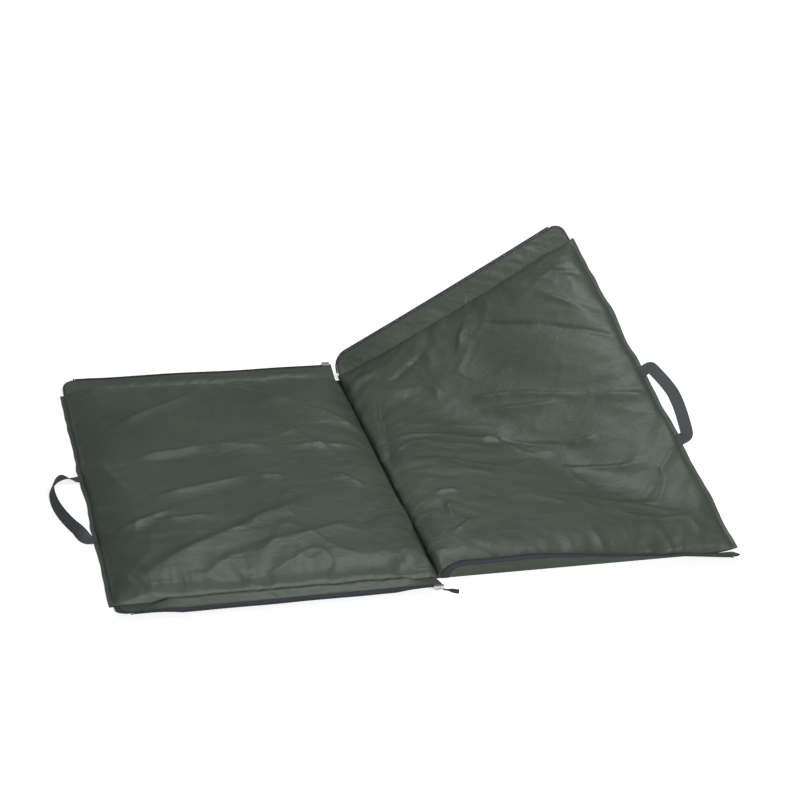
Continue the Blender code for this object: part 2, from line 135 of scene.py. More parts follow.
def plugIn(paint, shader, colour, roughness, height):
    # The height is in metres
    bump = paint.make("ShaderNodeBump", None, {"Height": height, "Distance": 1.0,
                                               "Strength": 1.0})
    paint.tree.links.new(bump.socket, shader.inputs["Normal"])
    paint.tree.links.new(colour.socket, shader.inputs["Base Color"])
    if roughness is not None:
        paint.tree.links.new(roughness.socket, shader.inputs["Roughness"])


def ownPlace(paint):
    return paint.make("ShaderNodeTexCoord", output=3)


def cloudy(paint, place, scale, detail, roughness=0.5, distortion=0.0):
    return paint.make("ShaderNodeTexNoise", None,
                      {"Vector": place, "Scale": scale, "Detail": detail,
                       "Roughness": roughness, "Distortion": distortion})


def twoTone(paint, mask, dark, light):
    return paint.make("ShaderNodeMix", {"data_type": "RGBA"},
                      {0: mask, 6: (*dark, 1), 7: (*light, 1)}, output=2)


nylon = {"dark": (0.0395, 0.0545, 0.0395), "light": (0.0560, 0.0755, 0.0560),
         "roughness": 0.50, "mirror": 0.52, "patch": 5.0, "crinkle": 16.0, "crumple": 48.0,
         "thread": 2600.0, "stretch": (0.5, 1.2, 1.0), "ridgeDepth": 0.00065,
         "foldDepth": 0.00020, "threadDepth": 0.00002}


def nylonFinish(name, shade=1.0, crumpling=1.0, rough=0.0):
    # Thin coated nylon: cloudy colour, soft creases and a thread too fine to see from afar
    made, shader, paint = newFinish(name, nylon["roughness"] + rough)
    shader.inputs["Specular IOR Level"].default_value = nylon["mirror"]
    place = ownPlace(paint)
    cloud = cloudy(paint, place, nylon["patch"], 5.0, 0.6)
    mask = cloud.make("ShaderNodeValToRGB", {"stops": ((0.3, 0.0), (0.7, 1.0))}, {"Fac": cloud})
    # shade scales both tones; the gusset's lighter shade is painted light, not a tone of its own
    dark, light = ([part * shade for part in nylon[tone]] for tone in ("dark", "light"))
    colour = twoTone(paint, mask, dark, light)
    drawn = paint.make("ShaderNodeVectorMath", {"operation": "MULTIPLY"},
                       {0: place, 1: nylon["stretch"]})
    soft = cloudy(paint, drawn, nylon["crinkle"], 3.0, 0.5, 0.6)
    ridge = 1 - ((soft - 0.5).sums("ABSOLUTE") * 3.0).clamp()
    fine = cloudy(paint, drawn, nylon["crumple"], 4.0, 0.55, 0.9)
    fold = 1 - ((fine - 0.5).sums("ABSOLUTE") * 3.2).clamp()
    thread = cloudy(paint, place, nylon["thread"], 1.0)
    height = (ridge ** 2.0) * (nylon["ridgeDepth"] * crumpling)
    height = height + (fold ** 2.0) * (nylon["foldDepth"] * crumpling)
    height = height + thread * nylon["threadDepth"]
    sheen = cloud * 0.10 + (nylon["roughness"] - 0.05 + rough)
    plugIn(paint, shader, colour, sheen, height)
    return made


def wovenFinish(name, dark, light, pitch, roughness=0.8, depth=0.00018):
    # Ribs that slant to and fro across the tape, from the piece's own length and width
    made, shader, paint = newFinish(name, roughness)
    cloth = paint.make("ShaderNodeUVMap", {"uv_map": "cloth"})
    along = paint.make("ShaderNodeSeparateXYZ", None, {0: cloth})
    across = Paint(along.tree, along.socket.node.outputs[1])
    zigzag = (across * (1.0 / (pitch * 3.0))).sums("PINGPONG", 1.0)
    rib = ((along * (1.0 / pitch) + zigzag) * (2 * math.pi)).sums("SINE") * 0.5 + 0.5
    row = ((across * (1.0 / (pitch * 0.75))) * (2 * math.pi)).sums("SINE") * 0.5 + 0.5
    weave = rib * 0.7 + row * 0.3
    fuzz = cloudy(paint, ownPlace(paint), 420.0, 3.0)
    mask = (weave * 0.75 + fuzz * 0.5 - 0.15).clamp()
    plugIn(paint, shader, twoTone(paint, mask, dark, light), None,
           weave * depth + fuzz * (depth * 0.6))
    return made


def metalFinish(name, dark, light, roughness):
    made, shader, paint = newFinish(name, roughness, 1.0)
    wear = cloudy(paint, ownPlace(paint), 900.0, 4.0)
    rough = wear * 0.25 + (roughness - 0.1)
    plugIn(paint, shader, twoTone(paint, wear.clamp(), dark, light), rough, wear * 0.00003)
    return made


def plainFinish(name, dark, light, roughness, scale, depth):
    made, shader, paint = newFinish(name, roughness)
    grain = cloudy(paint, ownPlace(paint), scale, 4.0, 0.6)
    plugIn(paint, shader, twoTone(paint, grain.clamp(), dark, light), None, grain * depth)
    return made


finishes = {
    "cover": nylonFinish("coverNylon"),
    # The gusset is the cover's nylon painted 1.12 times lighter: painted light for its upright
    # cloth that faces the lamps
    "gusset": nylonFinish("gussetNylonPaintedLighter", 1.12, 1.6),
    "base": nylonFinish("baseNylon", 0.85, 0.6, 0.15),
    "webbing": wovenFinish("handleWebbing", (0.034, 0.040, 0.043), (0.074, 0.083, 0.086),
                           0.0016),
    "strap": plainFinish("strapWebbing", (0.030, 0.035, 0.037), (0.075, 0.083, 0.085), 0.85,
                         900.0, 0.0002),
    "tape": wovenFinish("zipTape", (0.022, 0.026, 0.033), (0.050, 0.056, 0.066), 0.0012,
                        0.85, 0.00010),
    "coil": plainFinish("zipCoil", (0.018, 0.022, 0.027), (0.034, 0.039, 0.046), 0.85,
                        600.0, 0.00003),
    "metal": metalFinish("zipMetal", (0.50, 0.50, 0.50), (0.78, 0.78, 0.76), 0.30),
    "stop": metalFinish("stopMetal", (0.10, 0.10, 0.10), (0.20, 0.20, 0.20), 0.45),
    "pull": wovenFinish("pullTape", (0.008, 0.008, 0.009), (0.030, 0.030, 0.033), 0.0008,
                        0.7, 0.00008),
    "patch": plainFinish("hookAndLoop", (0.006, 0.006, 0.007), (0.030, 0.030, 0.032), 0.95,
                         1400.0, 0.0004),
    "foam": plainFinish("softFoam", (0.28, 0.28, 0.26), (0.42, 0.42, 0.40), 0.95, 700.0,
                        0.0006),
    "thread": plainFinish("sewingThread", (0.045, 0.055, 0.045), (0.110, 0.125, 0.105), 0.7,
                          1500.0, 0.00005),
}
print("finishes made")


# The raised corner: flat points are carried onto a slope that eases in at the crease

creaseStart = Vector((mat["spineEdge"], mat["halfDepth"], 0))
creaseEnd = Vector((mat["length"], -mat["halfDepth"], 0))
creaseRun = (creaseEnd - creaseStart).normalized()
away = Vector((-creaseRun.y, creaseRun.x, 0))
creaseOffset = away.dot(creaseStart)
cornerReach = away.dot(Vector((mat["length"], mat["halfDepth"], 0))) - creaseOffset
arcRadius = cornerReach ** 2 / (8 * corner["sag"])
startSlope = corner["lift"] - cornerReach / (2 * arcRadius)


def slopeAt(distance):
    ease = corner["ease"]
    full = startSlope + max(distance, 0) / arcRadius
    return full * eased(clamped((distance + ease) / (2 * ease)))


def traceSlope():
    # How far out and how high the cloth has come, a step at a time
    reach, rise = -corner["ease"], 0.0
    rows = [(reach, rise)]
    steps = int((corner["traced"] + corner["ease"]) / corner["step"])
    for index in range(steps):
        middle = -corner["ease"] + (index + 0.5) * corner["step"]
        reach += corner["step"] * math.cos(slopeAt(middle))
        rise += corner["step"] * math.sin(slopeAt(middle))
        rows.append((reach, rise))
    return rows


slopeRows = traceSlope()


def bendPoint(point):
    distance = away.dot(point) - creaseOffset
    if distance <= -corner["ease"]:
        return Vector(point)
    place = (distance + corner["ease"]) / corner["step"]
    index = min(int(place), len(slopeRows) - 2)
    share = place - index
    reach = slopeRows[index][0] + (slopeRows[index + 1][0] - slopeRows[index][0]) * share
    rise = slopeRows[index][1] + (slopeRows[index + 1][1] - slopeRows[index][1]) * share
    slope = slopeAt(distance)
    flat = Vector((point[0], point[1], 0)) - away * distance
    return flat + away * (reach - point[2] * math.sin(slope)) + up * (
        rise + point[2] * math.cos(slope))


creaseMiddle = (creaseStart + creaseEnd) / 2
blendEnd = bendPoint(creaseMiddle + away * corner["ease"])


# Meshes

def spaced(start, end, count):
    return [start + (end - start) * index / (count - 1) for index in range(count)]


def numberedGrid(columns, rows):
    # Every corner holds its column and row
    bm = bmesh.new()
    last = (len(columns) - 1, len(rows) - 1)
    bmesh.ops.create_grid(bm, x_segments=last[0], y_segments=last[1], size=1)
    for vert in bm.verts:
        vert.co = [round((part + 1) / 2 * most) for part, most in zip(vert.co, (*last, 0))]
    return bm


def layeredSheet(name, columns, rows, place, finish, uvPlace=None):
    # A grid gets its thickness, then place(x, y, layer) sets every corner
    bm = numberedGrid(columns, rows)
    grown = bmesh.ops.extrude_face_region(bm, geom=bm.faces)["geom"]
    for item in grown:
        if isinstance(item, bmesh.types.BMVert):
            item.co.z = 1
    cloth = bm.loops.layers.uv.new("cloth")
    for vert in bm.verts:
        column, row, layer = (round(part) for part in vert.co)
        x, y = columns[column], rows[row]
        flat = uvPlace(column, row) if uvPlace else (x, y)
        for loop in vert.link_loops:
            loop[cloth].uv = flat
        vert.co = place(x, y, layer)
    bmesh.ops.recalc_face_normals(bm, faces=bm.faces)
    if bm.calc_volume(signed=True) < 0:
        bmesh.ops.reverse_faces(bm, faces=bm.faces)
    return finishPiece(name, bm, finish)


def finishPiece(name, bm, finish, angle=40):
    mesh = bpy.data.meshes.new(name)
    bm.to_mesh(mesh)
    bm.free()
    mesh.materials.append(finish)
    mesh.shade_smooth()
    mesh.set_sharp_from_angle(angle=math.radians(angle))
    piece = bpy.data.objects.new(name, mesh)
    bpy.context.scene.collection.objects.link(piece)
    return piece


def bevelAll(bm, offset):
    bmesh.ops.bevel(bm, geom=bm.edges[:], affect="EDGES", offset=offset, segments=1,
                    profile=0.5, material=-1)


def runLengths(points):
    lengths = [0.0]
    for one, two in zip(points, points[1:]):
        lengths.append(lengths[-1] + math.dist(one, two))
    return lengths


def evenPlaces(points, pitch, first):
    # At even steps along a line, the two points around each place and the share between them
    travelled, wanted = 0.0, first
    for one, two in zip(points, points[1:]):
        step = math.dist(one, two)
        while step > 0 and wanted <= travelled + step:
            yield one, two, (wanted - travelled) / step
            wanted += pitch
        travelled += step


def cornerBlend(piece):
    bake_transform(piece)


# Cloth relief

def edgeRise(distance, radius):
    power = mat["fullness"]
    return (1 - (1 - clamped(distance / radius)) ** power) ** (1 / power)


def ridged(point, sharpness=2.0):
    return (1 - min(abs(noise.noise(point)) * 2.2, 1)) ** sharpness


# Folds on the panel: start and end, each as distance from the spine and y, width and height.
# A height below zero is a groove
leftFolds = (
    ((0.515, 0.190), (0.300, 0.330), 0.013, 0.0050),
    ((0.490, 0.058), (0.339, 0.086), 0.012, 0.0045),
    ((0.345, 0.085), (0.225, 0.066), 0.014, 0.0050),
    ((0.190, 0.066), (0.040, 0.046), 0.010, 0.0045),
    ((0.475, -0.095), (0.290, -0.048), 0.014, 0.0048),
    ((0.575, -0.205), (0.450, -0.148), 0.012, 0.0050),
    ((0.480, -0.184), (0.375, -0.176), 0.010, 0.0035),
    ((0.235, 0.320), (0.030, 0.138), 0.024, 0.0070),
    ((0.270, -0.046), (0.216, -0.056), 0.008, 0.0035),
    ((0.115, -0.054), (0.066, -0.104), 0.009, 0.0035),
    ((0.520, -0.340), (0.200, -0.150), 0.030, 0.0060),
    ((0.420, 0.230), (0.330, 0.170), 0.016, 0.0030),
    ((0.330, -0.300), (0.120, -0.240), 0.020, 0.0035),
    ((0.200, 0.200), (0.090, 0.010), 0.018, 0.0030),
    ((0.560, 0.060), (0.520, -0.060), 0.014, 0.0030),
)
rightFolds = (
    ((0.474, 0.382), (0.582, 0.308), 0.007, -0.0030),
    ((0.347, 0.322), (0.458, 0.245), 0.008, -0.0034),
    ((0.458, 0.245), (0.591, 0.131), 0.008, -0.0034),
    ((0.490, 0.314), (0.568, 0.210), 0.008, 0.0030),
    ((0.265, 0.170), (0.332, 0.142), 0.009, 0.0038),
    ((0.332, 0.142), (0.464, 0.055), 0.009, 0.0038),
    ((0.278, 0.125), (0.422, 0.064), 0.012, 0.0045),
    ((0.221, 0.037), (0.261, 0.032), 0.007, 0.0040),
    ((0.261, 0.032), (0.398, -0.034), 0.008, -0.0030),
    ((0.398, -0.034), (0.455, -0.048), 0.008, 0.0032),
    ((0.353, -0.097), (0.520, -0.150), 0.010, 0.0034),
    ((0.051, 0.256), (0.028, 0.064), 0.012, -0.0055),
    ((0.028, 0.064), (0.012, -0.024), 0.010, -0.0040),
    ((0.110, 0.305), (0.197, 0.332), 0.010, -0.0036),
    ((0.062, -0.152), (0.112, -0.155), 0.006, 0.0032),
    ((0.309, 0.343), (0.270, 0.294), 0.014, 0.0040),
    ((0.071, -0.244), (0.074, -0.188), 0.008, 0.0040),
    ((0.060, -0.300), (0.110, -0.260), 0.008, 0.0036),
    ((0.300, -0.200), (0.520, -0.300), 0.018, 0.0018),
    ((0.596, -0.020), (0.500, 0.030), 0.012, 0.0034),
    ((0.596, -0.140), (0.520, -0.200), 0.012, 0.0030),
)
fold = {"size": 1.7, "tail": 0.1, "fade": 0.35, "soft": 0.0025, "steep": 0.9, "gentle": 2.6}
relief = {"broad": 0.0042, "crease": 0.0030, "small": 0.0007, "pucker": 0.0056,
          "puckerReach": 0.034}


def foldHeight(folds, x, y):
    total = 0.0
    for (x0, y0), (x1, y1), width, height in folds:
        dx, dy = x1 - x0, y1 - y0
        length = math.hypot(dx, dy)
        along = ((x - x0) * dx + (y - y0) * dy) / (length * length)
        if not -fold["tail"] < along < 1 + fold["tail"]:
            continue
        wander = 0.22 * width * noise.noise(Vector((along * 4, x0 * 31, y0 * 17)))
        across = ((x - x0) * dy - (y - y0) * dx) / length * (1 if dx < 0 else -1) + wander
        if not -width * 2.8 < across < width * 1.1:
            continue
        fade = clamped((along + fold["tail"]) / fold["fade"])
        fade *= clamped((1 + fold["tail"] - along) / fold["fade"])
        for step in (-fold["soft"], 0, fold["soft"]):
            spot = across + step
            share = min(abs(spot) / (width * fold["steep" if spot > 0 else "gentle"]), 1)
            total += height / 3 * fade * (1 - share) ** 1.8
    return total * fold["size"]


# The lifted pad hangs a little in along a line beside the crease
hollow = {"depth": 0.013, "near": 0.15, "far": 0.46, "soft": 0.012}


def hollowDepth(x, y):
    distance = away.dot(Vector((x, y, 0))) - creaseOffset
    total = 0.0
    for step in (-hollow["soft"], 0, hollow["soft"]):
        spot = distance + step
        if spot < hollow["near"]:
            share = spot / hollow["near"]
        else:
            share = (hollow["far"] - spot) / (hollow["far"] - hollow["near"])
        total += clamped(share) / 3
    return total * hollow["depth"]


def clothRelief(x, y, seed, folds):
    base = Vector((x * 6.0, y * 6.0, seed))
    warp = Vector((noise.noise(base + Vector((3, 7, 1))),
                   noise.noise(base + Vector((9, 2, 5))), 0))
    broad = noise.noise(Vector((x * 5.5, y * 4.2, seed * 1.7))) * relief["broad"]
    line = Vector((x * 5.5 + warp.x * 1.1, y * 10.0 + warp.y * 1.1, seed + 4.0))
    crease = ridged(line, 3.0) * relief["crease"]
    gate = clamped(noise.noise(Vector((x * 3.1, y * 3.1, seed + 11))) + 0.55)
    small = ridged(Vector((x * 12 + warp.x * 2, y * 27 + warp.y * 2, seed + 8.0)), 2.5)
    return broad + crease * gate + small * relief["small"] * gate + foldHeight(folds, x, y)


def seamPuckers(x, y, seed):
    # Short gathers that run away from each sewn edge and die out over the pad
    total = 0.0
    reach = relief["puckerReach"]
    edges = ((x - mat["spineEdge"], y), (mat["length"] - x, y),
             (mat["halfDepth"] - abs(y), x + (3 if y > 0 else 7)))
    for index, (distance, along) in enumerate(edges):
        if distance > reach * 2.5:
            continue
        fade = math.exp(-distance / reach) * min(distance / 0.007, 1)
        lean = distance * 0.35 * noise.noise(Vector((along * 9, index * 5.0, seed)))
        wave = ridged(Vector(((along + lean) * 19, index * 3.0 + seed, distance * 5)), 1.6)
        wave += 0.4 * ridged(Vector(((along + lean) * 47, index * 3.0, seed + distance * 9)), 1.4)
        strength = 0.45 + 1.3 * noise.noise(Vector((along * 8, index * 7.0, seed)))
        share = clamped(strength, 0.08) * (1.15, 0.5, 1.0)[index]
        total += fade * (wave - 0.5) * relief["pucker"] * share
    return total


# The cover is blown up once with more cloth than its seams hold, for the gathers along them
drape = {"columns": 121, "rows": 161, "frames": 20, "spare": -0.03, "pressure": 2.0,
         "cap": 0.007, "stiff": 12.0, "shear": 4.0, "bending": 0.02, "mass": 0.12,
         "quality": 6, "share": 0.85, "softenPasses": 36, "tremble": 0.0012}


def soften(heights, passes):
    # Every pass takes the mean of each point and its neighbours
    for _ in range(passes):
        wide = numpy.pad(heights, 1, mode="edge")
        across = (wide[:, :-2] + wide[:, 1:-1] + wide[:, 2:]) / 3
        heights = (across[:-2] + across[1:-1] + across[2:]) / 3
    return heights


def drapedCover(name, seed):
    # Heights of the gathers over the smooth pad, on an even grid
    columns = spaced(mat["spineEdge"], mat["length"], drape["columns"])
    rows = spaced(-mat["halfDepth"], mat["halfDepth"], drape["rows"])
    bm = numberedGrid(columns, rows)
    spots = []
    for vert in bm.verts:
        column, row = round(vert.co.x), round(vert.co.y)
        x, y = columns[column], rows[row]
        low, rise = padUnderside(x, y)
        vert.co = (x, y, low)
        vert.co.z += noise.noise(Vector((x * 30, y * 30, seed))) * drape["tremble"] * rise
        spots.append((column, row, low))
    mesh = bpy.data.meshes.new(name)
    bm.to_mesh(mesh)
    bm.free()
    sheet = bpy.data.objects.new(name, mesh)
    bpy.context.scene.collection.objects.link(sheet)
    seams = sheet.vertex_groups.new(name="seams")
    seams.add([index for index, (column, row, low) in enumerate(spots)
               if column in (0, len(columns) - 1) or row in (0, len(rows) - 1)], 1, "REPLACE")
    cloth = sheet.modifiers.new("drape", "CLOTH").settings
    cloth.vertex_group_mass = "seams"
    cloth.quality = drape["quality"]
    cloth.mass = drape["mass"]
    cloth.tension_stiffness = drape["stiff"]
    cloth.compression_stiffness = drape["stiff"]
    cloth.shear_stiffness = drape["shear"]
    cloth.bending_stiffness = drape["bending"]
    cloth.use_pressure = True
    cloth.uniform_pressure_force = drape["pressure"]
    cloth.shrink_min = drape["spare"]
    cloth.effector_weights.gravity = 0
    for frameNumber in range(1, drape["frames"] + 1):
        bpy.context.scene.frame_set(frameNumber)
    shaped = sheet.evaluated_get(bpy.context.evaluated_depsgraph_get()).data
    heights = numpy.zeros((len(columns), len(rows)))
    for vert, (column, row, low) in zip(shaped.vertices, spots):
        heights[column, row] = vert.co.z - low
    bpy.context.scene.frame_set(1)
    bpy.data.objects.remove(sheet)
    gathers = soften(heights, 1) - soften(heights, drape["softenPasses"])
    return numpy.clip(gathers, -drape["cap"], drape["cap"])


def drapedGain(gains, x, y):
    # Between the grid's points, in a straight line
    across = (x - mat["spineEdge"]) / (mat["length"] - mat["spineEdge"]) * (drape["columns"] - 1)
    along = (y + mat["halfDepth"]) / (2 * mat["halfDepth"]) * (drape["rows"] - 1)
    column = min(int(across), drape["columns"] - 2)
    row = min(int(along), drape["rows"] - 2)
    u, v = across - column, along - row
    low = gains[column, row] * (1 - u) + gains[column + 1, row] * u
    high = gains[column, row + 1] * (1 - u) + gains[column + 1, row + 1] * u
    return float(low * (1 - v) + high * v) * drape["share"]


def padUnderside(x, y):
    low = mat["baseCloth"] + mat["play"]
    if x < mat["bindingStep"] + 0.004:
        low += mat["bindingLift"]
    rise = edgeRise(x - mat["spineEdge"] - mat["spineRim"], mat["spineRound"])
    rise *= edgeRise(mat["length"] - mat["rim"] - x, mat["endRound"])
    rise *= edgeRise(mat["halfDepth"] - mat["sideRim"] - abs(y), mat["sideRound"])
    across = (x - mat["spineEdge"]) / (mat["length"] - mat["spineEdge"])
    swell = math.sin(math.pi * across) * math.cos(math.pi * y / (2 * mat["halfDepth"]))
    full = mat["padTop"] - mat["coverCloth"] - low
    return low + full * rise * (1 - mat["dome"] + mat["dome"] * swell), rise


def denseLines(start, end, count, edge, edgeCount):
    # Even lines with closer ones at both sewn edges
    lines = spaced(start, start + edge, edgeCount)[:-1]
    lines += spaced(start + edge, end - edge, count)
    return lines + spaced(end - edge, end, edgeCount)[1:]


spine = {"openFrom": 0.17, "opens": 0.10, "meander": 0.0060, "close": 0.0026,
         "slack": 0.0014, "rim": 0.0015, "reach": 0.060, "fade": 0.045, "calm": 0.03}
sewnEnd = {"from": 0.52, "over": 0.08, "calm": 0.05, "sway": 0.0042}
coverLines = {"columns": 178, "rows": 236, "edge": 0.012, "edgeLines": 6}


class Pad:
    # The height of one panel's cloth at any place on it
    def __init__(self, name, side, folds, seed):
        self.side = side
        self.folds = folds
        self.seed = seed
        self.gains = drapedCover(name + "Drape", seed)

    def level(self, x, y):
        low, rise = padUnderside(x, y)
        free = min(rise * 1.8 + 0.10, 1)
        lift = clothRelief(x, y, self.seed, self.folds) * min(rise * 1.4, 1)
        lift += seamPuckers(x, y, self.seed) * free
        if self.side > 0:
            lift -= hollowDepth(x, y) * rise
        if self.gains is not None:
            lift += drapedGain(self.gains, x, y) * free
        return max(low + lift - 0.002 * rise, mat["baseCloth"] + mat["play"])

    def wobble(self, x, y):
        # The sewn end isn't quite straight
        near = clamped((x - sewnEnd["from"]) / sewnEnd["over"])
        far = clamped((mat["halfDepth"] - abs(y)) / sewnEnd["calm"])
        wave = noise.noise(Vector((y * 13, self.seed, 2.0)))
        wave += 0.5 * noise.noise(Vector((y * 31, self.seed, 5.0)))
        return Vector((self.side * wave * sewnEnd["sway"] * near * near * far, 0, 0))

    def meander(self, x, y):
        # The two pads lean on each other along the spine, except near its back end
        spread = x - mat["spineEdge"]
        rise = min(spread / spine["rim"], 1)
        rise *= clamped((spine["reach"] - spread) / spine["fade"])
        closed = clamped((spine["openFrom"] - y) / spine["opens"])
        ends = clamped((mat["halfDepth"] - abs(y)) / spine["calm"])
        shared = noise.noise(Vector((y * 8, 3.0, 1.0)))
        shared += 0.5 * noise.noise(Vector((y * 25, 8.0, 1.0)))
        own = 0.5 + noise.noise(Vector((y * 16, self.seed, 4.0)))
        shift = shared * spine["meander"]
        shift -= self.side * closed * (spine["close"] - spine["slack"] * clamped(own))
        return Vector((shift * rise * ends, 0, 0))


def makeCover(name, pad, finish):
    side = pad.side
    columns = denseLines(mat["spineEdge"], mat["length"], coverLines["columns"],
                         coverLines["edge"], coverLines["edgeLines"])
    rows = denseLines(-mat["halfDepth"], mat["halfDepth"], coverLines["rows"],
                      coverLines["edge"], coverLines["edgeLines"])
    levels = {(x, y): pad.level(x, y) for x in columns for y in rows}

    def place(x, y, layer):
        spot = Vector((side * x, y, levels[(x, y)] + mat["coverCloth"] * layer))
        spot += pad.wobble(x, y) + pad.meander(x, y)
        return bendPoint(spot) if side > 0 else spot
    return layeredSheet(name, columns, rows, place, finish)


foamSizes = {"start": 0.020, "end": 0.584, "halfDepth": 0.376, "around": 0.006,
             "below": 0.0015, "least": 0.0008, "leftBottom": 0.0043, "rightBottom": 0.0015}


def makeFoam(name, pad, bottom, finish):
    # The top stays under the lowest cloth around each place
    side = pad.side
    columns = denseLines(foamSizes["start"], foamSizes["end"], 44, 0.03, 8)
    rows = denseLines(-foamSizes["halfDepth"], foamSizes["halfDepth"], 58, 0.03, 8)
    steps = (-foamSizes["around"], 0, foamSizes["around"])

    def place(x, y, layer):
        lowest = min(pad.level(x + dx, y + dy) for dx in steps for dy in steps)
        top = max(lowest - foamSizes["below"], bottom + foamSizes["least"])
        spot = Vector((side * x, y, top if layer else bottom))
        return bendPoint(spot) if side > 0 else spot
    return layeredSheet(name, columns, rows, place, finish)


# The base cover steps over the spine's binding and the two roll straps
channel = {"centres": (0.384, 0.144), "half": 0.0165, "reach": 0.344, "slope": 0.003,
           "depth": 0.0028, "bindingSlope": 0.002, "lines": (0.0135, 0.0166),
           "rows": (0.341, 0.3441)}


def baseHeight(x, y, centres):
    slope = channel["bindingSlope"]
    under = mat["bindingLift"] * clamped((mat["bindingStep"] + slope - x) / slope)
    for centre in centres:
        across = clamped((channel["half"] - abs(x - centre)) / channel["slope"])
        along = clamped((channel["reach"] - abs(y)) / channel["slope"])
        under = max(under, channel["depth"] * across * along)
    return under


def makeBase(name, pad, centres, finish):
    side = pad.side
    columns = denseLines(mat["spineEdge"], mat["length"], 60, 0.012, 7)
    columns += [centre + way * line for centre in centres for line in channel["lines"]
                for way in (-1, 1)]
    rows = denseLines(-mat["halfDepth"], mat["halfDepth"], 80, 0.012, 4)
    rows += [way * row for row in channel["rows"] for way in (-1, 1)]
    columns.sort()
    rows.sort()

    def place(x, y, layer):
        spot = Vector((side * x, y, baseHeight(x, y, centres) + mat["baseCloth"] * layer))
        spot += pad.wobble(x, y)
        return bendPoint(spot) if side > 0 else spot
    return layeredSheet(name, columns, rows, place, finish)


# The last number of a pad or a flap sets where its noise is read
leftPad = Pad("left", -1, leftFolds, 2.3)
rightPad = Pad("right", 1, rightFolds, 6.1)
leftCover = makeCover("leftTopCover", leftPad, finishes["cover"])
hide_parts("left_top_cover")
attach(leftCover, "left_panel")
rightCover = makeCover("rightTopCover", rightPad, finishes["cover"])
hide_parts("right_top_cover_flat", "right_top_cover_corner")
cornerBlend(rightCover)
leftFoam = makeFoam("leftFoam", leftPad, foamSizes["leftBottom"], finishes["foam"])
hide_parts("left_foam")
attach(leftFoam, "left_panel")
rightFoam = makeFoam("rightFoam", rightPad, foamSizes["rightBottom"], finishes["foam"])
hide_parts("right_foam_flat", "right_foam_corner")
cornerBlend(rightFoam)
leftBase = makeBase("leftBaseCover", leftPad, channel["centres"], finishes["base"])
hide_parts("left_base_cover")
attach(leftBase, "left_panel")
rightBase = makeBase("rightBaseCover", rightPad, (), finishes["base"])
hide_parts("right_base_cover_flat", "right_base_cover_corner")
cornerBlend(rightBase)
print("panels made")


# The binding under the spine lies flat

binding = {"width": 0.022, "thick": 0.0010, "columns": 25, "rows": 60}


def makeBinding():
    half = binding["width"] / 2
    columns = spaced(-half, half, binding["columns"])
    rows = spaced(-mat["halfDepth"], mat["halfDepth"], binding["rows"])

    def place(x, y, layer):
        return Vector((x, y, binding["thick"] * layer))
    piece = layeredSheet("spineBinding", columns, rows, place, finishes["tape"])
    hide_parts("spine_binding")
    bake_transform(piece)


makeBinding()


# Zip flaps

flapSizes = {"width": 0.050, "cloth": 0.0008, "end": 0.596, "roundStart": 0.042,
             "roundEnd": 0.028, "coil": 0.0035, "coilThick": 0.0022, "tape": 0.0150,
             "lap": 0.0110, "tapeThick": 0.0008, "fit": 0.0003, "stop": 0.0030,
             "root": -0.0002, "height": 0.0015, "gap": 0.0007, "roundedGap": 0.0009}
ripples = {"from": 0.024, "to": 0.538, "over": 0.04, "tall": 0.030, "depth": 0.0022,
           "hangFrom": 0.030, "hangOver": 0.06, "edgeFrom": 0.024, "edgeOver": 0.026}
coilTurn = {"first": 0.0035, "pitch": 0.0016, "length": 0.00148, "bevel": 0.0002}
stitch = {"pitch": 0.0032, "inset": 0.0025, "lift": 0.00005, "share": 0.72,
          "width": 0.00055, "thick": 0.00035, "bevel": 0.00012}
coilInner = flapSizes["width"] - flapSizes["coil"]
tapeOuter = coilInner - flapSizes["fit"]
tapeInner = tapeOuter - flapSizes["tape"]
tapeLevel = flapSizes["cloth"] / 2 + flapSizes["fit"] + flapSizes["tapeThick"] / 2


def frontLean(x):
    # The right front flap stands at the spine and lies out at the handle end
    return math.radians(20 + 46 * clamped((x - 0.180) / 0.388))


def evenLean(degrees):
    return lambda x: math.radians(degrees)


